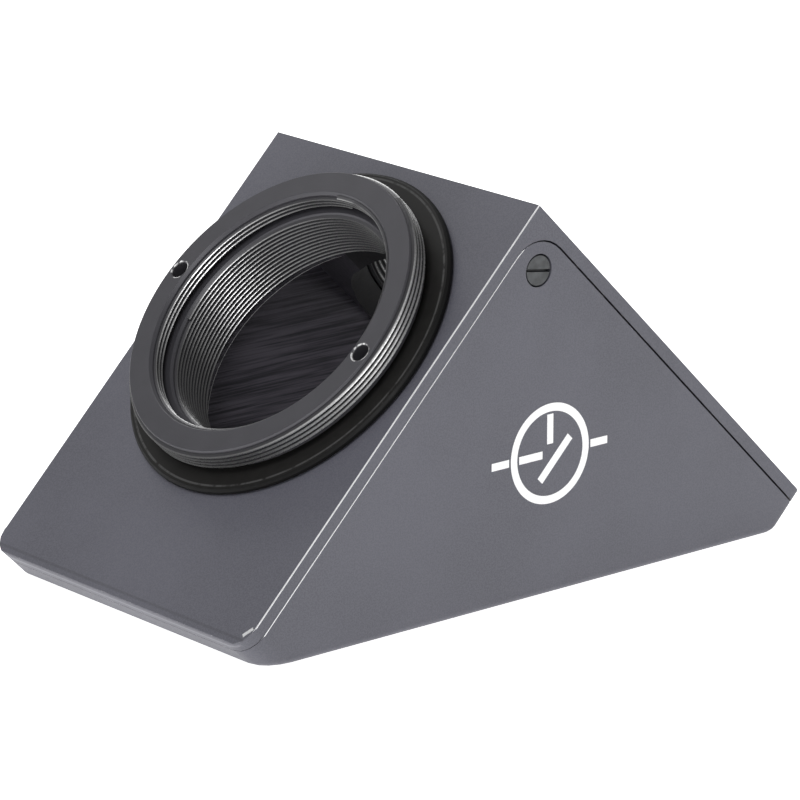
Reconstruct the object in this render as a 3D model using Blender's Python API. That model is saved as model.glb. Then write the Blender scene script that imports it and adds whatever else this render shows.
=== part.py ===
"""A two-inch class mirror star diagonal: a heavy triangular body lying on its long base.

Frame: metres, +Z up. The base rests on z = 0 and the origin is under the middle of the body.
The two port faces slope up at 45 degrees and meet at the ridge, which runs along Y.
The front port faces -X and up, the rear port +X and up, and the side cheeks face -Y and +Y.
A point of the side outline is named by its depths (u, v): u runs down the front port face
from the ridge and v down the rear one, both at right angles to each other.
"""

import math

import bmesh
import bpy
from mathutils import Matrix, Vector

MM = 0.001
ROOT2 = math.sqrt(2)

# Driving dimensions, in millimetres.
FRONT_LEG = 79.3  # length of the front port face, ridge to end
REAR_LEG = 78.0  # the same for the rear one
DROP = 85.4  # length of a port face and of the short end face square to it, together
WIDTH = 61.0  # body width along Y
PORT_AXIS = 31.2  # port centre, measured down each port face from the ridge
GAP = 0.3  # clearance between pieces that touch
ROOF = 2.0  # thickness of the housing's edge, seen along the top of each cheek
CHEEK = 4.0  # thickness of the cradle's side cheeks
FRONT_WALL = 8.2  # thickness of the wall that holds the front port
REAR_WALL = 13.2  # the same for the rear port, near the ridge
THIN_WALL = 10.0  # the rear wall again, beside the mirror
POCKET = 44.0  # width of the hollow inside the housing
FLOOR = 5.0  # thickness of the cradle's base
CHEEK_ROUND = 5.8  # radius of each cheek's top corner
FRONT_CORNER, REAR_CORNER = 3.7, 1.6  # radii of the upright corners at each end
FRONT_EDGE, REAR_EDGE = 1.2, 1.2  # radii of the edges where the port faces end
BASE_EDGE = 1.0  # radius of the edges round the base

FLANGE_RADIUS = 28.7
FLANGE_TOP = 1.3
ADAPTER_RADIUS = 25.7  # over the coarse male thread
ADAPTER_TOP = 6.45  # height of the adapter's top face over the port face
THREAD_START = 2.0
MOUTH_RADIUS = 21.0
MOUTH_DEPTH = 3.6
SLEEVE_BORE = 19.3
SLEEVE_RADIUS = 21.6
SLEEVE_END = -6.8
NECK_RADIUS = 23.2
LIP_RADIUS = 20.6  # the housing's own bore, below the counterbore for the neck
COUNTERBORE = 7.4
REAR_LIP_RADIUS = 21.4
REAR_COUNTERBORE = 9.0
SPANNER_RADIUS = 1.4
SPANNER_CIRCLE = 23.1
SPANNER_TURN = math.radians(-4.7)
INSERT_RADIUS = 24.2
INSERT_BORE = 20.6

MIRROR = (59.0, 41.4, 8.0)
MIRROR_BOTTOM = 8.3
TRAY = (70.0, 42.4, 1.6)
PAD_RADIUS, PAD_THICK = 4.0, 0.8
PAD_SPOTS = ((22.0, 0.0), (-18.0, 13.0), (-18.0, -13.0))
CLIP = (3.8, 28.0, 2.4)
CLIP_X = 31.9
CLIP_SCREW_Y = 10.0
CHEEK_SCREW_DEPTH = 7.0  # u and v of the screw at the top of each cheek
CHEEK_HEAD = 2.25  # radius of that screw's head
BASE_SCREW_SPOTS = ((-43.0, -17.0), (-43.0, 17.0), (43.0, -17.0), (43.0, 17.0))
DOWEL_X = 43.0
TRAY_SCREW_SPOTS = ((10.0, 0.0), (-10.0, 8.0), (-10.0, -8.0))

HEIGHT = DROP / ROOT2  # ridge over the base
CHEEK_CORNER = ROOF + GAP + CHEEK_ROUND  # u and v of the centre of the cheek's top corner
INNER_WIDTH = WIDTH - 2 * (CHEEK + GAP)  # housing between the cheeks
FAR = 30.0  # how far cutters run past the body


def clear_scene():
    for obj in list(bpy.data.objects):
        bpy.data.objects.remove(obj, do_unlink=True)


def material(name, colour, roughness, metallic):
    mat = bpy.data.materials.new(name)
    mat.use_nodes = True
    shader = mat.node_tree.nodes["Principled BSDF"]
    shader.inputs["Base Color"].default_value = (*colour, 1.0)
    shader.inputs["Roughness"].default_value = roughness
    shader.inputs["Metallic"].default_value = metallic
    return mat


def side_point(u, v):
    """The X and Z, in millimetres, of the side outline's point at depths (u, v)."""
    return (v - u) / ROOT2, HEIGHT - (u + v) / ROOT2


def port_frame(side):
    """Where a port's axis meets its face, turned so that local +Z points out of the port."""
    u, v = (PORT_AXIS, 0) if side < 0 else (0, PORT_AXIS)
    x, z = side_point(u, v)
    return Matrix.Translation(Vector((x, 0, z)) * MM) @ Matrix.Rotation(side * math.pi / 4, 4, "Y")


def add_object(name, bm, mat=None, matrix=None):
    """A new object whose mesh was drawn in millimetres."""
    bmesh.ops.scale(bm, vec=(MM, MM, MM), verts=bm.verts)
    bmesh.ops.recalc_face_normals(bm, faces=bm.faces)
    mesh = bpy.data.meshes.new(name)
    bm.to_mesh(mesh)
    bm.free()
    obj = bpy.data.objects.new(name, mesh)
    bpy.context.scene.collection.objects.link(obj)
    if matrix is not None:
        obj.matrix_world = matrix
    if mat is not None:
        mesh.materials.append(mat)
    return obj


def smooth(obj, degrees=35):
    obj.data.shade_smooth()
    obj.data.set_sharp_from_angle(angle=math.radians(degrees))


def prism(depths, y_low, y_high):
    """A bmesh whose side outline goes through the (u, v) depths, from y_low to y_high."""
    bm = bmesh.new()
    corners = []
    for u, v in depths:
        x, z = side_point(u, v)
        corners.append(bm.verts.new((x, y_low, z)))
    face = bm.faces.new(corners)
    grown = bmesh.ops.extrude_face_region(bm, geom=[face])
    moved = [item for item in grown["geom"] if isinstance(item, bmesh.types.BMVert)]
    bmesh.ops.translate(bm, vec=(0, y_high - y_low, 0), verts=moved)
    return bm


def arc(centre, radius, start, end, steps=8):
    """Points (u, v) on an arc round centre, with angles in degrees."""
    angles = [math.radians(start + (end - start) * i / steps) for i in range(steps + 1)]
    return [(centre[0] + radius * math.cos(a), centre[1] + radius * math.sin(a)) for a in angles]


def round_edges(bm, edges, radius, segments):
    bmesh.ops.bevel(
        bm, geom=edges, offset=radius, offset_type="OFFSET", affect="EDGES",
        segments=segments, profile=0.5, material=-1,
    )


def body_envelope(name, mat):
    """The outside of the closed body: ridge and long edges crisp, ends and base rounded."""
    front_top, front_low = (FRONT_LEG, 0), (FRONT_LEG, DROP - FRONT_LEG)
    rear_top, rear_low = (0, REAR_LEG), (DROP - REAR_LEG, REAR_LEG)
    bm = prism([(0, 0), front_top, front_low, rear_low, rear_top], -WIDTH / 2, WIDTH / 2)

    def between(first, second):
        """The edges whose ends lie, in either order, at these two depths."""
        spots = [Vector(side_point(*point)) for point in (first, second)]
        return [
            e for e in bm.edges
            if all(any((v.co.xz - spot).length < 0.01 for v in e.verts) for spot in spots)
            and all(any((v.co.xz - spot).length < 0.01 for spot in spots) for v in e.verts)
        ]

    for top, low, radius in ((front_top, front_low, FRONT_CORNER), (rear_top, rear_low, REAR_CORNER)):
        round_edges(bm, between(top, low), radius, 4)
    round_edges(bm, between(front_top, front_top), FRONT_EDGE, 3)
    round_edges(bm, between(rear_top, rear_top), REAR_EDGE, 4)
    on_base = [e for e in bm.edges if all(v.co.z < 0.01 for v in e.verts)]
    round_edges(bm, on_base, BASE_EDGE, 3)
    return add_object(name, bm, mat)


def cut(obj, cutter):
    cutter.hide_render = True
    cutter.display_type = "WIRE"
    boolean = obj.modifiers.new("cut_" + cutter.name, "BOOLEAN")
    boolean.operation = "DIFFERENCE"
    boolean.solver = "EXACT"
    boolean.object = cutter


def turned(name, profile, mat=None, matrix=None, segments=64):
    """A solid turned round local Z from a closed outline of (radius, height) points."""
    bm = bmesh.new()
    verts = [bm.verts.new((radius, 0, height)) for radius, height in profile]
    edges = [bm.edges.new((verts[i - 1], verts[i])) for i in range(len(verts))]
    bmesh.ops.spin(
        bm, geom=verts + edges, axis=(0, 0, 1), cent=(0, 0, 0),
        angle=2 * math.pi, steps=segments, use_merge=True,
    )
    bmesh.ops.remove_doubles(bm, verts=bm.verts, dist=1e-5)
    obj = add_object(name, bm, mat, matrix)
    smooth(obj)
    return obj


def rod(name, radii_heights, mat=None, matrix=None, segments=24):
    """A solid rod of stacked steps, each (radius, from, to), lowest first."""
    profile = []
    for radius, low, high in radii_heights:
        profile += [(radius, low), (radius, high)]
    bm = bmesh.new()
    verts = [bm.verts.new((radius, 0, height)) for radius, height in profile]
    edges = [bm.edges.new(pair) for pair in zip(verts, verts[1:])]
    bmesh.ops.spin(
        bm, geom=verts + edges, axis=(0, 0, 1), cent=(0, 0, 0),
        angle=2 * math.pi, steps=segments, use_merge=True,
    )
    bmesh.ops.remove_doubles(bm, verts=bm.verts, dist=1e-5)
    bmesh.ops.holes_fill(bm, edges=[e for e in bm.edges if e.is_boundary])
    obj = add_object(name, bm, mat, matrix)
    smooth(obj)
    return obj


def block(name, size, centre, mat=None, bevel=0.4):
    bm = bmesh.new()
    bmesh.ops.create_cube(bm, size=1)
    bmesh.ops.scale(bm, vec=size, verts=bm.verts)
    if bevel:
        round_edges(bm, list(bm.edges), bevel, 1)
    bmesh.ops.translate(bm, vec=centre, verts=bm.verts)
    return add_object(name, bm, mat)


def upright(x, y, z=0.0):
    return Matrix.Translation(Vector((x, y, z)) * MM)


def cheek_screw_frame(side):
    """At the cheek's outer face, turned so that local +Z points out of the cheek."""
    x, z = side_point(CHEEK_SCREW_DEPTH, CHEEK_SCREW_DEPTH)
    place = Matrix.Translation(Vector((x, side * WIDTH / 2, z)) * MM)
    return place @ Matrix.Rotation(-side * math.pi / 2, 4, "X")


def fastener_holes():
    """Cutters for every hole that a screw or dowel passes, each clear of it by the gap."""
    cutters = []
    for side in (-1, 1):
        steps = [(1.5 + GAP, -10.5, -2.2), (CHEEK_HEAD + GAP, -2.2, 5)]
        cutters.append(rod(f"cut_cheek_screw_{side}", steps, matrix=cheek_screw_frame(side)))
        steps = [(1.5 + GAP, 1.6, 10.6)]
        cutters.append(rod(f"cut_dowel_{side}", steps, matrix=upright(side * DOWEL_X, 0)))
    for i, (x, y) in enumerate(BASE_SCREW_SPOTS):
        steps = [(3.5 + GAP, -5, 2.6), (2.0 + GAP, 2.6, 11.6)]
        cutters.append(rod(f"cut_base_screw_{i}", steps, matrix=upright(x, y)))
    for i, (x, y) in enumerate(TRAY_SCREW_SPOTS):
        steps = [(3.0 + GAP, -5, 2.4), (1.5 + GAP, 2.4, 6.0)]
        cutters.append(rod(f"cut_tray_screw_{i}", steps, matrix=upright(x, y)))
    return cutters


def housing_cutters():
    """Everything taken from the body's envelope to leave the housing."""
    far = REAR_LEG + FAR
    low = (HEIGHT - FLOOR - GAP) * ROOT2 - ROOF
    under = [(ROOF, low), (low, ROOF), (far, ROOF), (far, far), (ROOF, far)]
    yield add_object("cut_under", prism(under, -WIDTH, WIDTH))
    corner = arc((CHEEK_CORNER,) * 2, CHEEK_ROUND + GAP, 180, 270)
    recess = corner + [(far, ROOF), (far, far), (ROOF, far)]
    for side in (-1, 1):
        limits = sorted((side * INNER_WIDTH / 2, side * WIDTH))
        yield add_object(f"cut_recess_{side}", prism(recess, *limits))
    bores = (
        (-1, LIP_RADIUS, FRONT_WALL, NECK_RADIUS, COUNTERBORE),
        (1, REAR_LIP_RADIUS, REAR_WALL, INSERT_RADIUS, REAR_COUNTERBORE),
    )
    for side, lip, wall, held, depth in bores:
        steps = [(lip, -wall - 6, 6)]
        yield rod(f"cut_port_{side}", steps, matrix=port_frame(side), segments=64)
        steps = [(held + GAP, -depth, 6)]
        yield rod(f"cut_counterbore_{side}", steps, matrix=port_frame(side), segments=64)
    pocket = [
        (REAR_WALL, FRONT_WALL), (far, FRONT_WALL), (far, far),
        (THIN_WALL, far), (THIN_WALL, 42), (REAR_WALL, 38),
    ]
    yield add_object("cut_pocket", prism(pocket, -POCKET / 2, POCKET / 2))


def cradle_cutters():
    """Everything taken from the body's envelope to leave the cradle and its cheeks."""
    edge = ROOF + GAP
    far = REAR_LEG + FAR
    corner = arc((CHEEK_CORNER,) * 2, CHEEK_ROUND, 270, 180)
    roof = [(-FAR, -FAR), (far, -FAR), (far, edge)] + corner + [(edge, far), (-FAR, far)]
    yield add_object("cut_roof", prism(roof, -WIDTH, WIDTH))
    reach = (HEIGHT - FLOOR) * ROOT2 + FAR
    between = [(-FAR, -FAR), (reach, -FAR), (-FAR, reach)]
    inside = WIDTH / 2 - CHEEK
    yield add_object("cut_between", prism(between, -inside, inside))


def make_bodies(holes):
    paint = material("satin_grey_paint", (0.115, 0.115, 0.128), 0.5, 0.0)
    housing = body_envelope("port_housing", paint)
    for cutter in list(housing_cutters()) + holes:
        cut(housing, cutter)
    smooth(housing)
    cradle = body_envelope("mirror_cradle", paint)
    for cutter in list(cradle_cutters()) + holes:
        cut(cradle, cutter)
    smooth(cradle)


def make_front_adapter():
    """The screw-in adapter, its loose flange ring and its fine-threaded sleeve."""
    frame = port_frame(-1)
    travel = bpy.data.objects.new("ring_travel_axis", None)
    bpy.context.scene.collection.objects.link(travel)
    travel.matrix_world = frame
    dark = material("flange_black", (0.03, 0.028, 0.026), 0.35, 0.6)
    anodised = material("black_anodised", (0.05, 0.05, 0.055), 0.38, 0.7)
    flange_profile = [
        (NECK_RADIUS + GAP, GAP), (FLANGE_RADIUS, GAP), (FLANGE_RADIUS, 0.8),
        (FLANGE_RADIUS - 0.6, FLANGE_TOP), (NECK_RADIUS + GAP, FLANGE_TOP),
    ]
    flange = turned("front_flange_ring", flange_profile, dark)
    shoulder = FLANGE_TOP + GAP
    sleeve_seat = ADAPTER_TOP - MOUTH_DEPTH + GAP
    seat_radius = SLEEVE_RADIUS + GAP
    adapter_profile = [
        (seat_radius, SLEEVE_END), (NECK_RADIUS, SLEEVE_END), (NECK_RADIUS, shoulder),
        (ADAPTER_RADIUS - 0.9, shoulder), (ADAPTER_RADIUS - 0.9, THREAD_START),
        (ADAPTER_RADIUS, THREAD_START + 0.3), (ADAPTER_RADIUS, ADAPTER_TOP - 0.6),
        (ADAPTER_RADIUS - 0.6, ADAPTER_TOP), (MOUTH_RADIUS + 0.3, ADAPTER_TOP),
        (MOUTH_RADIUS, ADAPTER_TOP - 0.3), (MOUTH_RADIUS, sleeve_seat), (seat_radius, sleeve_seat),
    ]
    adapter = turned("front_adapter_ring", adapter_profile, anodised)
    for side in (-1, 1):
        turn = math.pi / 2 * side + SPANNER_TURN
        spot = Matrix.Translation(
            Vector((math.cos(turn), math.sin(turn), 0)) * SPANNER_CIRCLE * MM
        )
        steps = [(SPANNER_RADIUS, ADAPTER_TOP - 2.6, ADAPTER_TOP + 3)]
        cut(adapter, rod(f"cut_spanner_{side}", steps, matrix=frame @ spot, segments=16))
    sleeve_profile = [
        (SLEEVE_BORE, SLEEVE_END), (SLEEVE_RADIUS, SLEEVE_END),
        (SLEEVE_RADIUS, sleeve_seat - GAP), (SLEEVE_BORE + 0.3, sleeve_seat - GAP),
        (SLEEVE_BORE, sleeve_seat - GAP - 0.3),
    ]
    sleeve = turned("front_thread_sleeve", sleeve_profile, anodised)
    for piece in (flange, adapter, sleeve):
        piece.parent = travel


def make_rear_insert():
    anodised = material("insert_black", (0.05, 0.05, 0.055), 0.4, 0.7)
    profile = [
        (INSERT_BORE, GAP - REAR_COUNTERBORE), (INSERT_RADIUS, GAP - REAR_COUNTERBORE),
        (INSERT_RADIUS, -0.3),
        (INSERT_RADIUS - 0.3, 0), (INSERT_BORE + 0.3, 0), (INSERT_BORE, -0.3),
    ]
    turned("rear_thread_insert", profile, anodised, port_frame(1))


def make_mirror_cell():
    """The flat mirror on three pads, on a tray, held at each end by a clip bar."""
    glass = material("mirror_coating", (0.85, 0.86, 0.88), 0.04, 1.0)
    plate = material("tray_aluminium", (0.25, 0.25, 0.26), 0.45, 1.0)
    cork = material("pad_cork", (0.32, 0.2, 0.11), 0.9, 0.0)
    steel = material("screw_steel", (0.2, 0.2, 0.21), 0.35, 1.0)
    block("mirror", MIRROR, (0, 0, MIRROR_BOTTOM + MIRROR[2] / 2), glass, 0.5)
    tray_bottom = FLOOR + GAP
    tray = block("mirror_tray", TRAY, (0, 0, tray_bottom + TRAY[2] / 2), plate, 0.3)
    tray_top = tray_bottom + TRAY[2]
    for i, (x, y) in enumerate(PAD_SPOTS, 1):
        low = tray_top + GAP
        rod(f"mirror_pad_{i}", [(PAD_RADIUS, low, low + PAD_THICK)], cork, upright(x, y))
    for side, where in ((-1, "front"), (1, "rear")):
        low = tray_top + GAP
        bar = block(f"mirror_clip_{where}", CLIP, (side * CLIP_X, 0, low + CLIP[2] / 2), plate, 0.3)
        for end in (-1, 1):
            spot = upright(side * CLIP_X, end * CLIP_SCREW_Y)
            hole = rod(f"cut_clip_{where}_{end}", [(1.0 + GAP, 0, 20)], matrix=spot, segments=16)
            cut(bar, hole)
            cut(tray, hole)
            head = low + CLIP[2] + GAP
            steps = [(1.0, tray_bottom, head), (1.8, head, head + 1.4)]
            number = 1 if end < 0 else 2
            rod(f"clip_screw_{where}_{number}", steps, steel, spot, 16)
    for i, (x, y) in enumerate(TRAY_SCREW_SPOTS, 1):
        steps = [(3.0, 0.4, 2.1), (1.5, 2.1, tray_top)]
        rod(f"tray_screw_{i}", steps, steel, upright(x, y))
        cut(tray, rod(f"cut_tray_{i}", [(1.5 + GAP, 4, 9)], matrix=upright(x, y)))


def slotted(screw, matrix, radius, top, depth=0.8, width=0.5, turn=0.0):
    bm = bmesh.new()
    bmesh.ops.create_cube(bm, size=1)
    bmesh.ops.scale(bm, vec=(2 * radius + 4, width, 2 * depth), verts=bm.verts)
    bmesh.ops.translate(bm, vec=(0, 0, top), verts=bm.verts)
    cutter = add_object("cut_slot_" + screw.name, bm, matrix=matrix @ Matrix.Rotation(turn, 4, "Z"))
    cut(screw, cutter)


def make_body_fasteners():
    steel = material("blackened_steel", (0.06, 0.06, 0.065), 0.4, 0.9)
    pin_steel = material("dowel_steel", (0.5, 0.5, 0.5), 0.3, 1.0)
    for side, where in ((-1, "left"), (1, "right")):
        place = cheek_screw_frame(side)
        steps = [(1.5, -10.2, -1.9), (CHEEK_HEAD, -1.9, -0.1)]
        screw = rod(f"cheek_screw_{where}", steps, steel, place)
        slotted(screw, place, CHEEK_HEAD, -0.1, turn=math.radians(9 * side))
    for i, (x, y) in enumerate(BASE_SCREW_SPOTS, 1):
        steps = [(3.5, 0.4, 2.3), (2.0, 2.3, 11.2)]
        rod(f"base_screw_{i}", steps, steel, upright(x, y))
    for side, where in ((-1, "front"), (1, "rear")):
        rod(f"dowel_{where}", [(1.5, 1.9, 10.2)], pin_steel, upright(side * DOWEL_X, 0))


def main():
    clear_scene()
    holes = fastener_holes()
    make_bodies(holes)
    make_front_adapter()
    make_rear_insert()
    make_mirror_cell()
    make_body_fasteners()


main()
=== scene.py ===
"""A two-inch star diagonal on a pale studio floor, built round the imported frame."""

import math

import bmesh
import bpy
from mathutils import Matrix, Vector


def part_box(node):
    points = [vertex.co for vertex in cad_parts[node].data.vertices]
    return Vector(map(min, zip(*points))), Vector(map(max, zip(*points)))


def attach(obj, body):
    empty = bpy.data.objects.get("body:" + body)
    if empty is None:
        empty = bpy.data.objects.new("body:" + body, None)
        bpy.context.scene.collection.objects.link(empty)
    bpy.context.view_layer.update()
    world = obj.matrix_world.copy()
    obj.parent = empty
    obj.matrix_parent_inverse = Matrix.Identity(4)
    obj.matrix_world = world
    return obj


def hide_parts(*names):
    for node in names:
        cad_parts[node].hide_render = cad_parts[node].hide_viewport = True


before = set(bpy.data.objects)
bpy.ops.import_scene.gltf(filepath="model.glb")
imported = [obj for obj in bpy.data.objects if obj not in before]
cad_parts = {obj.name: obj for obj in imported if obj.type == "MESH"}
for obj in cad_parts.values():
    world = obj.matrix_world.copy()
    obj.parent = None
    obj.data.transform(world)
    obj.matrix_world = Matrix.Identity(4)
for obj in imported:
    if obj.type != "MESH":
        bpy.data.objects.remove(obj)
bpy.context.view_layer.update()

MM = 0.001
ROOT2 = math.sqrt(2)

# The body, in millimetres, as the frame holds it.
FRONT_LEG, REAR_LEG = 79.3, 78.0  # lengths of the port faces, from the ridge to their ends
DROP = 85.4  # length of a port face and of the short end face under it, together
HEIGHT = DROP / ROOT2
WIDTH = (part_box("mirror_cradle")[1].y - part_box("mirror_cradle")[0].y) / MM
POCKET = 44.0  # width of the hollow inside the housing
PORT_AXIS = 31.2  # port centre, measured down each port face from the ridge
FRONT_WALL, REAR_WALL = 8.2, 13.2  # thicknesses of the walls round the two ports
LIP_RADIUS = 20.6  # the housing's own bore under the front ring
WIDEST_BORE = 24.7  # just past the widest counterbore of either port
CHEEK_EDGE, CHEEK_ROUND = 2.3, 5.8  # the cheek's depth under the port faces, and its corner
CHEEK_REACH = 4.2  # just past the thickness of a cheek
JOINT_CLOSED = 0.2  # how much of the joint's 0.3 is closed along the cheek's front edge
# The wider broken edges are painted as rubbed metal that also stands in for a highlight.
WORN_HIGHLIGHT_EDGE, PLAIN_EDGE = 0.15, 0.08  # widths of the broken edges between painted faces
LIP_EDGE = 0.2  # the same round the front bore's inner edge
INK = 0.02  # thickness of the print over the paint
CHIP = (76.6, -29.5)  # depth down the front face, and Y, of the chip in its near corner
MARK_CENTRE = (2.5, 22.0)  # X and Z of the printed mark

# The port fittings, in millimetres: radii, and heights over the port face.
FLANGE_RADIUS, FLANGE_TOP, FLANGE_BORE = 28.7, 1.3, 23.5
RING_TOP = 6.45
THREAD_CREST, THREAD_ROOT = 25.7, 25.0
THREAD_LOW, THREAD_HIGH = 2.2, 5.95
COARSE_PITCH, COARSE_FLAT, FINE_FLAT = 0.8, 0.12, 0.06
NECK_RADIUS = 23.2
MOUTH_RADIUS, MOUTH_DEPTH = 21.0, 3.6
SLEEVE_BORE, SLEEVE_RADIUS, SLEEVE_END = 19.3, 21.6, -6.8
FINE_PITCH = 0.71
SPANNER_RADIUS, SPANNER_CIRCLE, SPANNER_TURN = 1.4, 23.1, math.radians(-4.7)
INSERT_RADIUS, INSERT_BORE, INSERT_END, REAR_PITCH = 24.2, 20.6, -8.7, 0.95
CHEEK_SCREW_DEPTH, CHEEK_HEAD = 7.0, 2.25
ROUND_STEPS = 160


# ---------------------------------------------------------------- finishes

class Value:
    """A shader socket on which Python's operators add Math nodes."""

    def __init__(self, finish, socket):
        self.finish = finish
        self.socket = socket

    def maths(self, operation, *values):
        inputs = dict(enumerate(values))
        return self.finish.node("ShaderNodeMath", {"operation": operation}, inputs)

    def __add__(self, other):
        return self.maths("ADD", self, other)

    __radd__ = __add__

    def __sub__(self, other):
        return self.maths("SUBTRACT", self, other)

    def __rsub__(self, other):
        return self.maths("SUBTRACT", other, self)

    def __mul__(self, other):
        return self.maths("MULTIPLY", self, other)

    __rmul__ = __mul__

    def __truediv__(self, other):
        return self.maths("DIVIDE", self, other)

    def __pow__(self, other):
        return self.maths("POWER", self, other)

    def __abs__(self):
        return self.maths("ABSOLUTE", self)

    def over(self, limit):
        return self.maths("GREATER_THAN", self, limit)

    def rise(self, low, high):
        """0 below low and 1 above high, with a smooth step between them."""
        inputs = {"Value": self, "From Min": low, "From Max": high}
        return self.finish.node("ShaderNodeMapRange", {"interpolation_type": "SMOOTHSTEP"}, inputs)


class Finish:
    """A material whose Principled shader is fed by procedural patterns."""

    def __init__(self, name, **constants):
        self.material = bpy.data.materials.new(name)
        self.material.use_nodes = True
        self.tree = self.material.node_tree
        self.shader = self.tree.nodes["Principled BSDF"]
        for socket, value in constants.items():
            self.feed(socket.replace("_", " "), value)

    def put(self, socket, value):
        if isinstance(value, Value):
            self.tree.links.new(value.socket, socket)
        else:
            socket.default_value = value

    def feed(self, socket, value):
        self.put(self.shader.inputs[socket], value)

    def node(self, kind, settings=None, inputs=None, output=0):
        made = self.tree.nodes.new(kind)
        for key, value in (settings or {}).items():
            setattr(made, key, value)
        for key, value in (inputs or {}).items():
            self.put(made.inputs[key], value)
        return Value(self, made.outputs[output])

    def place(self, scale=(1, 1, 1), turn=(0, 0, 0), shift=(0, 0, 0)):
        """Object coordinates in millimetres, turned, shifted and then stretched by scale."""
        here = self.node("ShaderNodeTexCoord", output="Object")
        inputs = {"Vector": here, "Scale": (1 / MM,) * 3, "Rotation": turn, "Location": shift}
        turned_place = self.node("ShaderNodeMapping", {"vector_type": "POINT"}, inputs)
        return self.node("ShaderNodeMapping", {"vector_type": "POINT"},
                         {"Vector": turned_place, "Scale": scale})

    def port_place(self, side, scale=(1, 1, 1)):
        """Millimetres from a port's centre, with Z out of the port."""
        x, z = side_point(*((PORT_AXIS, 0) if side < 0 else (0, PORT_AXIS)))
        turn = Matrix.Rotation(-side * math.pi / 4, 3, "Y")
        return self.place(scale, (0, -side * math.pi / 4, 0), tuple(turn @ Vector((-x, 0, -z))))

    def noise(self, place, scale, detail=3.0, roughness=0.5):
        inputs = {"Vector": place, "Scale": scale, "Detail": detail, "Roughness": roughness}
        return self.node("ShaderNodeTexNoise", {"noise_dimensions": "3D"}, inputs)

    def parts(self, vector):
        split = self.node("ShaderNodeSeparateXYZ", inputs={"Vector": vector})
        outputs = split.socket.node.outputs
        return [Value(self, outputs[axis]) for axis in "XYZ"]

    def blend(self, factor, first, second):
        inputs = {0: factor, 6: first, 7: second}
        return self.node("ShaderNodeMix", {"data_type": "RGBA"}, inputs, output=2)

    def bump(self, height, depth_mm, strength=1.0, under=None):
        inputs = {"Height": height, "Distance": depth_mm * MM, "Strength": strength}
        if under is not None:
            inputs["Normal"] = under
        return self.node("ShaderNodeBump", inputs=inputs)

    def edge_wear_and_highlight(self):
        return self.node("ShaderNodeAttribute", {"attribute_name": "edge"}, output="Fac")


def grey(level, warmth=0.0):
    return (level * (1 + warmth), level, level * (1 - warmth), 1.0)


def end_marks(finish, place, ragged):
    """Where the front face ends: a painted highlight along its rounded rim, a painted dark line of shade
    above it, and a chipped corner.
    """
    x, y, z = finish.parts(place)
    u, v = (HEIGHT - z - x) * (1 / ROOT2), (HEIGHT - z + x) * (1 / ROOT2)
    end = FRONT_LEG
    # Painted highlight on the lower half of the rounded end edge.
    rim = u.rise(end - 0.9, end - 0.5) * (v.rise(0.5, 0.65) - v.rise(0.9, 1.1))
    line = u.rise(end - 1.6, end - 1.35) - u.rise(end - 1.2, end - 0.9)
    # Painted shade: a dark line on the front face where the rounded end edge begins.
    shade_line = (1 - v.rise(0.12, 0.3)) * line
    down, over = u - CHIP[0], y - CHIP[1]
    length = abs(down * 0.85 + over * 0.53) + ragged * 0.5
    breadth = abs(down * 0.53 - over * 0.85) + ragged * 0.5
    chip = (1 - length.rise(1.2, 1.4)) * (1 - breadth.rise(0.6, 0.75))
    return rim, shade_line, chip * (1 - v.rise(1.0, 1.3))


def satin_paint():
    """Slate-grey stove enamel: fine orange peel, rubbed through along its edges, where the rubbed metal also
    stands in for a highlight, and with a painted highlight and a painted line of shade where the front face
    ends.
    """
    finish = Finish("satin_slate_paint", Coat_Weight=0.0, IOR=1.45)
    place = finish.place()
    peel = finish.noise(place, 1.1, 2.0)
    grain = finish.noise(place, 4.5, 1.0)
    cloud = finish.noise(place, 0.05, 3.0)
    colour = finish.blend(cloud.rise(0.3, 0.7), (0.074, 0.074, 0.092, 1), (0.085, 0.085, 0.106, 1))
    colour = finish.blend(grain.rise(0.35, 0.65) * 0.25, colour, (0.16, 0.16, 0.18, 1))
    rub = finish.noise(place, 1.3, 4.0, 0.7) + finish.noise(place, 0.2, 2.0) * 0.5
    # Rubbed paint on the broken edges; on the fully marked ones the pale metal also stands in for a
    # highlight.
    worn_and_highlight = (finish.edge_wear_and_highlight() + rub * 0.5).rise(1.16, 1.28)
    rim, shade_line, chip = end_marks(finish, place, rub)
    # Painted highlight along the rounded end edge, then painted shade just above it.
    colour = finish.blend(rim * (0.15 + peel * 0.3), colour, (0.30, 0.30, 0.33, 1))
    colour = finish.blend(shade_line * 0.3, colour, (0.03, 0.03, 0.035, 1))
    worn_and_highlight = worn_and_highlight.maths("MAXIMUM", worn_and_highlight, chip)
    finish.feed("Base Color", finish.blend(worn_and_highlight, colour, (0.85, 0.85, 0.86, 1)))
    finish.feed("Metallic", worn_and_highlight * 0.8)
    finish.feed("Roughness", 0.44 + peel * 0.12 - worn_and_highlight * 0.1)
    fine = finish.bump(grain, 0.004, 0.5)
    finish.feed("Normal", finish.bump(peel, 0.02, 0.6, fine))
    return finish.material


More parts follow.
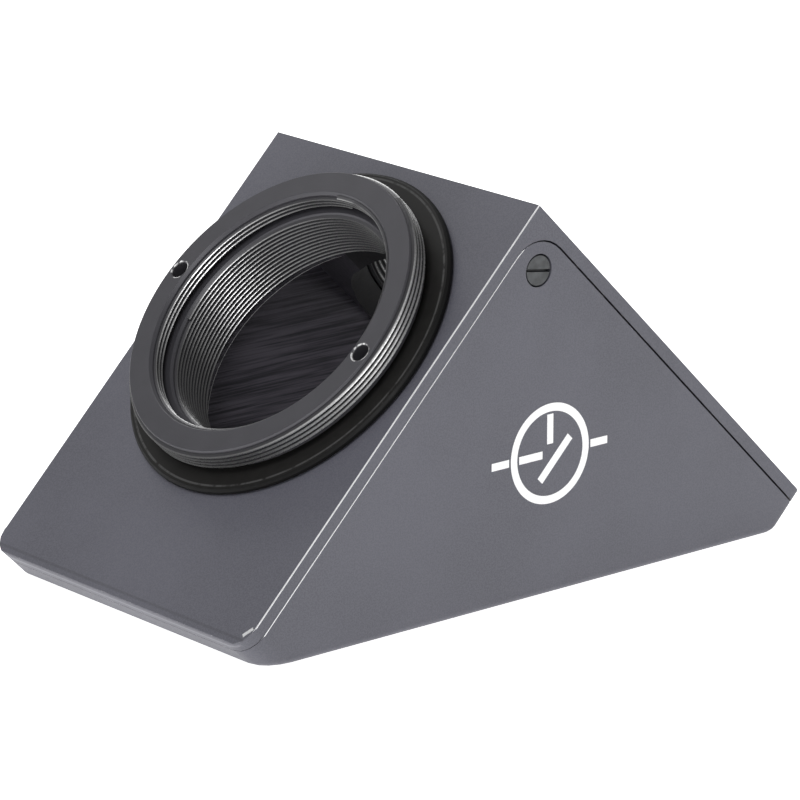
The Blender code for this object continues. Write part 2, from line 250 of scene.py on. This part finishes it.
def chamber_black(name, dark, light, depth):
    """The housing's inside: dark, matt, with a cutter's passes along it."""
    finish = Finish(name, IOR=1.4)
    passes = finish.noise(finish.place((0.03, 1.0, 1.0)), 1.6, 3.0, 0.6)
    streaks = finish.noise(finish.place((0.02, 1.0, 1.0)), 4.0, 2.0, 0.5)
    tone = passes * 0.6 + streaks * 0.4
    colour = finish.blend(tone.rise(0.38, 0.6), (dark, dark * 0.95, dark * 1.2, 1),
                          (light, light * 0.92, light * 1.12, 1))
    patches = finish.noise(finish.place(), 0.25, 3.0)
    # Pale metal on the fully marked bevels round the front bore's lip: a painted highlight, with some
    # rubbing.
    worn_and_highlight = finish.edge_wear_and_highlight().rise(0.9, 0.95) * patches.rise(0.2, 0.45)
    finish.feed("Base Color", finish.blend(worn_and_highlight, colour, (0.7, 0.7, 0.7, 1)))
    finish.feed("Metallic", worn_and_highlight * 0.8)
    finish.feed("Roughness", 0.42 + streaks * 0.25)
    finish.feed("Normal", finish.bump(passes + streaks * 0.4, depth, 0.8))
    return finish.material


def specks(finish):
    """A few grains of pale dust: 1 on them, and 0 elsewhere."""
    cells = finish.node("ShaderNodeTexVoronoi", inputs={"Vector": finish.place(), "Scale": 0.4})
    outputs = cells.socket.node.outputs
    chance = finish.parts(Value(finish, outputs["Color"]))[0]
    return chance.over(0.8) * (1 - Value(finish, outputs["Distance"]).rise(0.02, 0.06))


def turned_black(name, side, colour, roughness, depth):
    """Black anodising over lathe marks that run round the port's axis."""
    finish = Finish(name, Metallic=0.35, IOR=1.5)
    x, y, z = finish.parts(finish.port_place(side))
    radius = (x * x + y * y) ** 0.5
    rings = finish.node("ShaderNodeCombineXYZ", inputs={"X": radius, "Y": z})
    marks = finish.noise(rings, 6.0, 2.0, 0.6)
    cloud = finish.noise(finish.place(), 0.25, 3.0)
    low, high = ((colour * k, colour * k * 0.98, colour * k * 1.12, 1) for k in (0.9, 1.15))
    black = finish.blend(cloud, low, high)
    if side < 0:
        spot = next(spanner_spots())
        # The spanner holes' rims, painted pale as rubbed metal and as a highlight on their countersinks.
        reach = [((x - way * spot.x) ** 2 + (y - way * spot.y) ** 2) ** 0.5 for way in (-1, 1)]
        rim = 1 - abs(reach[0].maths("MINIMUM", *reach) - SPANNER_RADIUS - 0.12).rise(0.06, 0.16)
        bare_and_highlight = rim * z.over(RING_TOP - 0.3) * finish.noise(finish.place(), 1.2, 3.0).rise(0.4, 0.6)
        black = finish.blend(bare_and_highlight.maths("MAXIMUM", bare_and_highlight, specks(finish)), black, grey(0.75))
    finish.feed("Base Color", black)
    finish.feed("Roughness", roughness + marks * 0.12)
    finish.feed("Normal", finish.bump(marks, depth, 0.6))
    return finish.material


def flange_black():
    """Deep black, with the pale witness of a stop near its rim."""
    finish = Finish("flange_anodising", IOR=1.25)
    x, y, z = finish.parts(finish.port_place(-1))
    radius = (x * x + y * y) ** 0.5
    cloud = finish.noise(finish.place(), 0.6, 4.0, 0.6)
    line = (radius.rise(27.5, 27.62) - radius.rise(27.82, 27.94)) * cloud.rise(0.3, 0.55) * 0.8
    face = finish.blend(cloud, grey(0.009, 0.04), grey(0.015, 0.04))
    # Painted shade: the chamfered outer edge is painted near black, so it catches no light.
    face = finish.blend(radius.rise(28.1, 28.3), face, grey(0.003))
    face = finish.blend(line, face, grey(0.07))
    finish.feed("Base Color", finish.blend(specks(finish), face, grey(0.6)))
    finish.feed("Roughness", 0.4 + cloud * 0.2)
    finish.feed("Normal", finish.bump(cloud, 0.02, 0.4))
    return finish.material


def worn_thread(name, side, root, crest, dark, highlight_level, highlight_bearing):
    """Black anodising on a thread whose crests have rubbed through to metal, painted lighter towards one
    bearing as a highlight.
    """
    finish = Finish(name, IOR=1.5)
    x, y, z = finish.parts(finish.port_place(side))
    radius = (x * x + y * y) ** 0.5
    share = (radius - root) / (crest - root)
    nicks = finish.noise(finish.place(), 2.6, 4.0, 0.7)
    bearing = math.radians(highlight_bearing)
    facing = (x * math.cos(bearing) + y * math.sin(bearing)) / radius
    worn_and_highlight = share.rise(0.55, 0.95) * (nicks.rise(0.3, 0.55) * 0.5 + 0.5)
    # Painted highlight: the rubbed crests are lighter the more they face one bearing.
    metal = finish.blend(facing.rise(0.55, 1.0), grey(highlight_level * 0.28), grey(highlight_level))
    finish.feed("Base Color", finish.blend(worn_and_highlight, (dark, dark * 0.98, dark * 1.08, 1), metal))
    finish.feed("Metallic", 0.35 + worn_and_highlight * 0.65)
    finish.feed("Roughness", 0.36 - worn_and_highlight * 0.12 + nicks * 0.06)
    finish.feed("Normal", finish.bump(nicks, 0.03, 0.6))
    return finish.material


def coated_glass():
    """Aluminised on top, ground on the sides."""
    finish = Finish("front_coated_mirror", IOR=1.5)
    height = finish.parts(finish.place())[2]
    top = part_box("mirror")[1].z / MM
    coated = height.over(top - 0.05)
    ground = finish.noise(finish.place(), 3.0)
    finish.feed("Base Color", finish.blend(coated, (0.35, 0.42, 0.4, 1), (0.9, 0.9, 0.92, 1)))
    finish.feed("Metallic", coated)
    finish.feed("Roughness", 0.5 - coated * 0.47 + ground * 0.02)
    return finish.material


def milled_metal(name, level, roughness):
    finish = Finish(name, Metallic=1.0)
    lines = finish.noise(finish.place((0.05, 1.5, 1.5)), 3.0, 3.0, 0.6)
    finish.feed("Base Color", finish.blend(lines, grey(level * 0.85), grey(level * 1.1)))
    finish.feed("Roughness", roughness + lines * 0.15)
    finish.feed("Normal", finish.bump(lines, 0.01, 0.5))
    return finish.material


def black_oxide():
    finish = Finish("black_oxide_steel", IOR=1.5)
    tool = finish.noise(finish.place(), 5.0, 3.0, 0.6)
    cloud = finish.noise(finish.place(), 0.8, 2.0)
    finish.feed("Base Color", finish.blend(cloud.rise(0.3, 0.7), grey(0.05, -0.04), grey(0.08, -0.04)))
    finish.feed("Metallic", 0.5)
    finish.feed("Roughness", 0.38 + tool * 0.2)
    finish.feed("Normal", finish.bump(tool, 0.01, 0.5))
    return finish.material


def matt_rubber():
    finish = Finish("matt_rubber", IOR=1.4)
    speck = finish.noise(finish.place(), 4.0, 4.0, 0.7)
    finish.feed("Base Color", finish.blend(speck, grey(0.02), grey(0.045, 0.05)))
    finish.feed("Roughness", 0.8 + speck * 0.15)
    finish.feed("Normal", finish.bump(speck, 0.03, 0.6))
    return finish.material


def printed_white():
    """Pad-printed white ink, a little thin over the paint's texture."""
    finish = Finish("printed_white", IOR=1.45)
    grain = finish.noise(finish.place(), 3.5, 3.0, 0.6)
    ink = finish.blend(grain.rise(0.3, 0.5), (0.78, 0.78, 0.8, 1), (0.92, 0.92, 0.92, 1))
    finish.feed("Base Color", ink)
    finish.feed("Roughness", 0.5 + grain * 0.1)
    finish.feed("Normal", finish.bump(grain, 0.006, 0.5))
    return finish.material


# ---------------------------------------------------------------- shapes

def side_point(u, v):
    """X and Z, in millimetres, of the point at depth u down the front face and v down the rear."""
    return (v - u) / ROOT2, HEIGHT - (u + v) / ROOT2


def port_frame(side):
    """A port's centre on its face, with local +Z out of the port."""
    x, z = side_point(*((PORT_AXIS, 0) if side < 0 else (0, PORT_AXIS)))
    return Matrix.Translation(Vector((x, 0, z)) * MM) @ Matrix.Rotation(side * math.pi / 4, 4, "Y")


def depths(point):
    """How far a point lies under the front and the rear port face: side_point's u and v."""
    return (HEIGHT - point.z - point.x) / ROOT2, (HEIGHT - point.z + point.x) / ROOT2


def even_normals(mesh):
    """Custom normals under which large faces stay flat and the bevels between them stay round."""
    around = [[] for _ in mesh.vertices]
    for face in mesh.polygons:
        for index in face.vertices:
            around[index].append(face)
    close = math.cos(math.radians(40))
    normals = []
    for face in mesh.polygons:
        for index in face.vertices:
            total = Vector()
            for other in around[index]:
                if other.normal.dot(face.normal) > close:
                    total += other.normal * (other.area * 1e6) ** 3
            normals.append(total.normalized())
    mesh.normals_split_custom_set(normals)


def finished(name, bm, matrix, mats, body, replaced=(), threaded=False):
    """Turns a bmesh drawn in millimetres into a piece that rides on a body."""
    bmesh.ops.scale(bm, vec=(MM,) * 3, verts=bm.verts)
    bmesh.ops.transform(bm, matrix=matrix, verts=bm.verts)
    mesh = bpy.data.meshes.new(name)
    bm.to_mesh(mesh)
    bm.free()
    for mat in mats:
        mesh.materials.append(mat)
    mesh.shade_smooth()
    if threaded:
        mesh.set_sharp_from_angle(angle=math.radians(30))
    else:
        even_normals(mesh)
    piece = bpy.data.objects.new(name, mesh)
    bpy.context.scene.collection.objects.link(piece)
    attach(piece, body)
    if replaced:
        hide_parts(*replaced)
    return piece


def full_turn(bm, verts, edges, steps=ROUND_STEPS):
    bmesh.ops.spin(bm, geom=verts + edges, axis=(0, 0, 1), cent=(0, 0, 0),
                   angle=2 * math.pi, steps=steps, use_merge=True)
    bmesh.ops.remove_doubles(bm, verts=bm.verts, dist=1e-4)
    bmesh.ops.recalc_face_normals(bm, faces=bm.faces)


def turned_ring(profile, steps=ROUND_STEPS):
    """A ring turned from a closed outline of (radius, height) points, in millimetres."""
    bm = bmesh.new()
    verts = [bm.verts.new((radius, 0, height)) for radius, height in profile]
    edges = [bm.edges.new((verts[i - 1], verts[i])) for i in range(len(verts))]
    full_turn(bm, verts, edges, steps)
    return bm


def turned_solid(profile, steps=48):
    """A solid turned from an open outline that starts and ends on the axis."""
    bm = bmesh.new()
    verts = [bm.verts.new((radius, 0, height)) for radius, height in profile]
    edges = [bm.edges.new(pair) for pair in zip(verts, verts[1:])]
    full_turn(bm, verts, edges, steps)
    return bm


def thread_ridge(root, crest, low, high, pitch, flat=FINE_FLAT):
    """A helical ridge from low to high: a V that stands on the root radius, fading at its ends.

    flat is half the width of its crest, in pitches.
    """
    turns = (high - low) / pitch - 1
    into = 0.08 if crest > root else -0.08
    half = 0.47 * pitch
    bm = bmesh.new()
    foot, top = root - into, flat * pitch
    outline = [(foot, -half), (crest, -top), (crest, top), (foot, half)]
    verts = [bm.verts.new((radius, 0, low + pitch / 2 + height)) for radius, height in outline]
    edges = [bm.edges.new((verts[i - 1], verts[i])) for i in range(len(verts))]
    first = bm.faces.new(verts)
    steps = int(ROUND_STEPS * turns)
    swept = bmesh.ops.spin(bm, geom=verts + edges, axis=(0, 0, 1), cent=(0, 0, 0),
                           dvec=(0, 0, turns * pitch / steps), angle=2 * math.pi * turns, steps=steps)
    last = [item for item in swept["geom_last"] if isinstance(item, bmesh.types.BMVert)]
    bm.faces.new(sorted(last, key=lambda vert: (vert.co.z, vert.co.to_2d().length)))
    first.normal_update()
    fade = 0.12 * pitch
    for vert in bm.verts:
        radius = vert.co.to_2d().length
        run = vert.co.z - low - pitch / 2
        rising, falling = max(0, run + half), max(0, turns * pitch - run + half)
        reach = min(1, rising / fade / 4, falling / fade / 4)
        wanted = foot + (radius - foot) * reach
        vert.co.xy *= wanted / radius
    bmesh.ops.recalc_face_normals(bm, faces=bm.faces)
    return bm


def merged_copy(node):
    """A CAD node's mesh, in millimetres, with its triangles merged into flat faces."""
    bm = bmesh.new()
    bm.from_mesh(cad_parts[node].data)
    bmesh.ops.scale(bm, vec=(1 / MM,) * 3, verts=bm.verts)
    bmesh.ops.remove_doubles(bm, verts=bm.verts, dist=2e-3)
    bmesh.ops.dissolve_limit(bm, angle_limit=math.radians(0.5), verts=bm.verts, edges=bm.edges)
    return bm


def sharp_edges(bm, chosen):
    """Edges longer than a facet that turn through more than a rounded corner's facets do."""
    return [
        e for e in bm.edges
        if len(e.link_faces) == 2 and e.calc_face_angle(0) > math.radians(34)
        and e.calc_length() > 0.3 and chosen((e.verts[0].co + e.verts[1].co) / 2)
        and all(chosen(v.co) for v in e.verts)
    ]


def break_edges(bm, edges, width, wear_and_highlight):
    """Bevels edges, and marks the new faces in the float attribute edge, which the finishes read as rubbed
    paint and, where fully marked, as a painted highlight.
    """
    done = bmesh.ops.bevel(bm, geom=edges, offset=width, offset_type="OFFSET", affect="EDGES",
                           segments=2, profile=0.5, material=-1, clamp_overlap=True)
    layer = bm.faces.layers.float["edge"]
    for face in done["faces"]:
        face[layer] = wear_and_highlight


def on_skin(point):
    """True on the body's own skin, and false in its chamber, bores and hidden joints."""
    return min(depths(point)) < 2.4 or abs(point.y) > WIDTH / 2 - 0.05 or point.z < 0.02


def on_rubbed_highlight_edge(point):
    """True along the front port face's side edges, and on the cheek's edge beside them."""
    u, v = depths(point)
    return abs(point.y) > WIDTH / 2 - 0.05 and (v < 0.02 or 2.05 < v < 2.5 and u > 5)


def on_front_lip(point):
    """True on the inner edge of the front bore."""
    u, v = depths(point)
    return abs(math.hypot(u - PORT_AXIS, point.y) - LIP_RADIUS) < 0.2 and abs(v - FRONT_WALL) < 0.02


def carve(piece, cutters):
    """Cuts solids, drawn in millimetres, out of a piece, and leaves one plain mesh."""
    helpers = []
    for bm, matrix in cutters:
        bmesh.ops.scale(bm, vec=(MM,) * 3, verts=bm.verts)
        bmesh.ops.transform(bm, matrix=matrix, verts=bm.verts)
        mesh = bpy.data.meshes.new("cutter")
        bm.to_mesh(mesh)
        bm.free()
        helper = bpy.data.objects.new("cutter", mesh)
        bpy.context.scene.collection.objects.link(helper)
        boolean = piece.modifiers.new("cut", "BOOLEAN")
        boolean.operation = "DIFFERENCE"
        boolean.object = helper
        helpers.append(helper)
    graph = bpy.context.evaluated_depsgraph_get()
    cut_mesh = bpy.data.meshes.new_from_object(piece.evaluated_get(graph))
    piece.modifiers.clear()
    piece.data = cut_mesh
    even_normals(cut_mesh)
    for helper in helpers:
        bpy.data.objects.remove(helper)


# ---------------------------------------------------------------- the body

def fit_cheeks(bm):
    """Closes most of the joint at each cheek's front edge, and sinks its skin by the ink's depth."""
    centre = CHEEK_EDGE + CHEEK_ROUND
    for vert in bm.verts:
        u, v = depths(vert.co)
        reach = math.hypot(min(u, centre) - centre, min(v, centre) - centre) / CHEEK_ROUND
        if abs(vert.co.y) > WIDTH / 2 - CHEEK_REACH and abs(reach - 1) < 0.02 and v < centre:
            shift = JOINT_CLOSED * (centre - v) / CHEEK_ROUND
            vert.co += Vector((-shift, 0, shift)) / ROOT2
        if abs(vert.co.y) > WIDTH / 2 - 0.001:
            vert.co.y -= math.copysign(INK, vert.co.y)


def body_finish(face):
    """Which of painted_body's finishes a face takes: paint, dark floor, milled wall painted lighter as lit,
    or bore painted darker as shade.
    """
    centre = face.calc_center_median()
    u, v = depths(centre)
    inside = (
        abs(centre.y) < POCKET / 2 + 1.4 and min(u, v) > 0.3 and centre.z > 0.5
        and u < FRONT_LEG - 3 and v < REAR_LEG - 3
    )
    if not inside:
        return 0
    front_bore = v < FRONT_WALL - 0.1 and math.hypot(u - PORT_AXIS, centre.y) < WIDEST_BORE
    rear_bore = u < REAR_WALL - 0.1 and math.hypot(v - PORT_AXIS, centre.y) < WIDEST_BORE
    # The rear port's bore takes the darkest copy, as painted shade.
    if rear_bore and not front_bore:
        return 3
    # Side walls take the lighter copy, as painted light.
    return 2 if abs(face.normal.y) > 0.9 else 1


def painted_body(name, node, mats):
    """The node's own shape with its outer edges broken, painted outside and black inside."""
    bm = merged_copy(node)
    bm.faces.layers.float.new("edge")
    if node == "mirror_cradle":
        fit_cheeks(bm)
    # Fully marked bevels: painted as rubbed metal that also stands in for a highlight.
    break_edges(bm, sharp_edges(bm, on_rubbed_highlight_edge), WORN_HIGHLIGHT_EDGE, 1.0)
    # The front bore's lip, marked the same so that its bevel is painted as a highlight.
    break_edges(bm, sharp_edges(bm, on_front_lip), LIP_EDGE, 1.0)
    break_edges(bm, sharp_edges(bm, on_skin), PLAIN_EDGE, 0.8)
    for face in bm.faces:
        face.material_index = body_finish(face)
    return finished(name, bm, Matrix(), mats, "root", (node,))


# ---------------------------------------------------------------- the front ring

def front_flange(mat):
    edge = FLANGE_RADIUS
    profile = [
        (FLANGE_BORE, 0.3), (edge - 0.1, 0.3), (edge, 0.4), (edge, 0.85),
        (edge - 0.08, 1.0), (edge - 0.38, 1.24), (edge - 0.55, FLANGE_TOP),
        (25.4, FLANGE_TOP), (25.2, FLANGE_TOP - 0.12), (FLANGE_BORE, FLANGE_TOP - 0.12),
    ]
    return finished("flange_ring", turned_ring(profile), port_frame(-1), (mat,), "flange",
                    ("front_flange_ring",))


def spanner_spots():
    for side in (-1, 1):
        turn = math.pi / 2 * side + SPANNER_TURN
        yield Vector((math.cos(turn), math.sin(turn), 0)) * SPANNER_CIRCLE


def front_ring(mat, crests, fine):
    seat = RING_TOP - MOUTH_DEPTH + 0.3
    inner = SLEEVE_RADIUS + 0.3
    profile = [
        (inner, SLEEVE_END), (NECK_RADIUS, SLEEVE_END), (NECK_RADIUS, 1.6), (24.6, 1.6),
        (24.6, THREAD_LOW - 0.25), (THREAD_ROOT, THREAD_LOW), (THREAD_ROOT, THREAD_HIGH),
        (THREAD_ROOT + 0.1, RING_TOP - 0.35), (THREAD_ROOT, RING_TOP - 0.1), (THREAD_ROOT - 0.12, RING_TOP),
        (MOUTH_RADIUS + 0.5, RING_TOP), (MOUTH_RADIUS + 0.4, RING_TOP - 0.03),
        (MOUTH_RADIUS + 0.05, RING_TOP - 0.38), (MOUTH_RADIUS, RING_TOP - 0.5),
        (MOUTH_RADIUS, seat + 0.45), (MOUTH_RADIUS + 0.4, seat + 0.4),
        (MOUTH_RADIUS + 0.4, seat), (inner, seat),
    ]
    ring = finished("adapter_ring", turned_ring(profile), port_frame(-1), (mat,), "adapter",
                    ("front_adapter_ring",))
    holes = []
    for spot in spanner_spots():
        drill = turned_solid([
            (0, RING_TOP - 3.0), (SPANNER_RADIUS, RING_TOP - 2.4), (SPANNER_RADIUS, RING_TOP - 0.14),
            (SPANNER_RADIUS + 0.3, RING_TOP + 0.16), (SPANNER_RADIUS + 0.3, RING_TOP + 1), (0, RING_TOP + 1),
        ], 32)
        holes.append((drill, port_frame(-1) @ Matrix.Translation(spot * MM)))
    carve(ring, holes)
    male = thread_ridge(THREAD_ROOT, THREAD_CREST, THREAD_LOW, RING_TOP - 0.3,
                        COARSE_PITCH, COARSE_FLAT)
    finished("adapter_male_thread", male, port_frame(-1), (crests,), "adapter",
             threaded=True)
    mouth = thread_ridge(MOUTH_RADIUS, MOUTH_RADIUS - 0.42, seat + 0.3, RING_TOP - 0.15, FINE_PITCH)
    finished("adapter_mouth_thread", mouth, port_frame(-1), (fine,), "adapter",
             threaded=True)


def front_sleeve(mat, fine):
    top = RING_TOP - MOUTH_DEPTH
    root = SLEEVE_BORE + 0.42
    profile = [
        (root, SLEEVE_END + 0.3), (root + 0.3, SLEEVE_END), (SLEEVE_RADIUS, SLEEVE_END),
        (SLEEVE_RADIUS, top), (root + 0.35, top), (root, top - 0.35),
    ]
    finished("sleeve_body", turned_ring(profile), port_frame(-1), (mat,), "adapter",
             ("front_thread_sleeve",))
    thread = thread_ridge(root, SLEEVE_BORE, SLEEVE_END + 0.2, top - 0.02, FINE_PITCH)
    finished("sleeve_thread", thread, port_frame(-1), (fine,), "adapter",
             threaded=True)


def rear_insert(mat, fine):
    root = INSERT_BORE + 0.4
    profile = [
        (root, INSERT_END + 0.3), (root + 0.3, INSERT_END), (INSERT_RADIUS, INSERT_END),
        (INSERT_RADIUS, -0.3), (INSERT_RADIUS - 0.3, 0), (root + 0.5, 0), (root, -0.5),
    ]
    finished("insert_body", turned_ring(profile), port_frame(1), (mat,), "root",
             ("rear_thread_insert",))
    thread = thread_ridge(root, INSERT_BORE, INSERT_END + 0.1, -0.2, REAR_PITCH)
    finished("insert_thread", thread, port_frame(1), (fine,), "root",
             threaded=True)


# ---------------------------------------------------------------- screws

def cheek_screw(side, where, mat):
    """A cheese-head screw sunk flush in its cheek, with one straight slot."""
    x, z = side_point(CHEEK_SCREW_DEPTH, CHEEK_SCREW_DEPTH)
    place = Matrix.Translation(Vector((x, side * WIDTH / 2, z)) * MM)
    place = place @ Matrix.Rotation(-side * math.pi / 2, 4, "X")
    profile = [(0, -10.2), (1.4, -10.2), (1.5, -9.9), (1.5, -1.9), (CHEEK_HEAD, -1.9),
               (CHEEK_HEAD + 0.1, -1.7), (CHEEK_HEAD + 0.1, -0.25), (CHEEK_HEAD, -0.12),
               (CHEEK_HEAD - 0.15, -0.1), (0, -0.1)]
    screw = finished(f"slotted_screw_{where}", turned_solid(profile, 64), place, (mat,), "root",
                     (f"cheek_screw_{where}",))
    slot = bmesh.new()
    bmesh.ops.create_cube(slot, size=1)
    bmesh.ops.scale(slot, vec=(9, 0.45, 1.8), verts=slot.verts)
    carve(screw, [(slot, place @ Matrix.Rotation(math.radians(9 * side), 4, "Z"))])


def socket_screw(node, head_radius, socket_radius, shank_radius, mat):
    """A flush cap screw seen from below, with a hexagonal socket."""
    low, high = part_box(node)
    centre = (low + high) / 2
    bottom, top = low.z / MM, high.z / MM
    head_top = bottom + (1.9 if head_radius > 3.2 else 1.7)
    profile = [(0, bottom), (head_radius - 0.35, bottom), (head_radius - 0.1, bottom + 0.1),
               (head_radius, bottom + 0.35), (head_radius, head_top), (shank_radius, head_top),
               (shank_radius, top - 0.3), (shank_radius - 0.3, top), (0, top)]
    place = Matrix.Translation((centre.x, centre.y, 0))
    screw = finished(node + "_socket_head", turned_solid(profile, 48), place, (mat,), "root",
                     (node,))
    hexagon = bmesh.new()
    bmesh.ops.create_cone(hexagon, cap_ends=True, segments=6, radius1=socket_radius,
                          radius2=socket_radius, depth=2.8)
    carve(screw, [(hexagon, place @ Matrix.Translation((0, 0, bottom * MM)))])


# ---------------------------------------------------------------- the print on the cheek

def cheek_print(mat):
    """A plain mark in white ink on the near cheek: a ring with a light path bent by a mirror."""
    centre = Vector((MARK_CENTRE[0], -WIDTH / 2 + INK, MARK_CENTRE[1])) * MM
    place = Matrix.Translation(centre) @ Matrix.Rotation(math.pi / 2, 4, "X")
    ring = turned_ring([(6.5, -INK), (7.75, -INK), (7.75, INK), (6.5, INK)], 96)
    finished("mark_ring", ring, place, (mat,), "root")
    bars = (
        ("mark_axis_left", 3.4, 1.2, (-9.8, 0), 0), ("mark_axis_right", 3.4, 1.2, (9.8, 0), 0),
        ("mark_light_in", 4.6, 1.2, (-3.8, 0), 0), ("mark_light_up", 4.6, 1.2, (0, 3.8), 90),
        ("mark_mirror", 8.4, 1.3, (1.0, -1.0), 45),
    )
    for name, length, thick, spot, degrees in bars:
        bar = bmesh.new()
        bmesh.ops.create_cube(bar, size=1)
        bmesh.ops.scale(bar, vec=(length, thick, 2 * INK), verts=bar.verts)
        turn = Matrix.Rotation(math.radians(degrees), 4, "Z")
        bmesh.ops.transform(bar, matrix=Matrix.Translation((*spot, 0)) @ turn, verts=bar.verts)
        finished(name, bar, place, (mat,), "root")


# ---------------------------------------------------------------- studio

def studio():
    scene = bpy.context.scene
    scene.view_settings.view_transform = "Standard"
    bm = bmesh.new()
    bmesh.ops.create_grid(bm, x_segments=1, y_segments=1, size=6)
    mesh = bpy.data.meshes.new("floor")
    bm.to_mesh(mesh)
    bm.free()
    floor = bpy.data.objects.new("floor", mesh)
    scene.collection.objects.link(floor)
    pale = Finish("pale_floor", Base_Color=(0.9, 0.9, 0.9, 1), Roughness=0.7,
                  Emission_Color=(1, 1, 1, 1), Emission_Strength=1.0)
    mesh.materials.append(pale.material)
    world = bpy.data.worlds.new("studio")
    scene.world = world
    world.use_nodes = True
    background = world.node_tree.nodes["Background"]
    background.inputs["Color"].default_value = (1, 1, 1, 1)
    background.inputs["Strength"].default_value = 0.35
    soft_light("key", (-1.15, -0.6, 1.2), 0.8, 15)
    soft_light("fill", (-0.3, -1.2, 0.8), 0.9, 0.5)
    soft_light("back", (0.3, 1.3, 1.2), 0.8, 9)


def soft_light(name, place, size, power):
    data = bpy.data.lights.new(name, "AREA")
    data.size = size
    data.energy = power
    light = bpy.data.objects.new(name, data)
    light.location = place
    light.rotation_euler = (Vector((0, 0, 0.03)) - Vector(place)).to_track_quat("-Z", "Y").to_euler()
    bpy.context.scene.collection.objects.link(light)


def camera():
    azimuth, elevation, distance = math.radians(-40.15), math.radians(16.3), 0.7657
    target = Vector((-0.0016, -0.0008, 0.0244))
    away = Vector((math.sin(azimuth) * math.cos(elevation),
                   -math.cos(azimuth) * math.cos(elevation), math.sin(elevation)))
    data = bpy.data.cameras.new("camera")
    data.lens = 226.4
    data.clip_start = 0.05
    data.clip_end = 50
    obj = bpy.data.objects.new("camera", data)
    obj.location = target + away * distance
    obj.rotation_euler = (-away).to_track_quat("-Z", "Y").to_euler()
    bpy.context.scene.collection.objects.link(obj)
    bpy.context.scene.camera = obj


# ---------------------------------------------------------------- assembly

def main():
    camera()
    studio()
    paint = satin_paint()
    # Three copies of one chamber black: the milled side walls painted lighter as lit, the rear bore painted
    # darkest as shade.
    black = chamber_black("chamber_black", 0.024, 0.048, 0.05)
    wall = chamber_black("chamber_wall_painted_lit", 0.028, 0.100, 0.12)
    bore = chamber_black("bore_black_painted_shade", 0.005, 0.008, 0.03)
    painted_body("housing_shell", "port_housing", (paint, black, wall, bore))
    painted_body("cradle_body", "mirror_cradle", (paint, black, wall, bore))
    ring_black = turned_black("ring_anodising", -1, 0.056, 0.34, 0.008)
    insert_black = turned_black("insert_anodising", 1, 0.02, 0.34, 0.008)
    # The last number of each thread is the bearing of its painted highlight; the one before, its level.
    crests = worn_thread("coarse_thread", -1, THREAD_ROOT, THREAD_CREST, 0.04, 0.95, 262)
    fine = worn_thread("fine_thread", -1, SLEEVE_BORE + 0.42, SLEEVE_BORE, 0.05, 0.55, 62)
    mouth = worn_thread("mouth_thread", -1, MOUTH_RADIUS, MOUTH_RADIUS - 0.42, 0.045, 0.95, 75)
    rear = worn_thread("rear_thread", 1, INSERT_BORE + 0.4, INSERT_BORE, 0.015, 0.7, 120)
    front_flange(flange_black())
    front_ring(ring_black, crests, mouth)
    front_sleeve(ring_black, fine)
    rear_insert(insert_black, rear)
    cheek_print(printed_white())
    screws = black_oxide()
    for side, where in ((-1, "left"), (1, "right")):
        cheek_screw(side, where, screws)
    for number in range(1, 5):
        socket_screw(f"base_screw_{number}", 3.5, 1.9, 2.0, screws)
    for number in range(1, 4):
        socket_screw(f"tray_screw_{number}", 3.0, 1.5, 1.5, screws)
    plates = milled_metal("milled_aluminium", 0.5, 0.3)
    pins = milled_metal("ground_steel", 0.55, 0.2)
    rubber = matt_rubber()
    glass = coated_glass()
    for name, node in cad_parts.items():
        chosen = next((mat for start, mat in (
            ("mirror_pad", rubber), ("mirror_tray", plates), ("mirror_clip", plates),
            ("clip_screw", screws), ("dowel", pins), ("mirror", glass),
        ) if name.startswith(start)), None)
        if chosen and not node.hide_render:
            node.data.materials.clear()
            node.data.materials.append(chosen)


main()
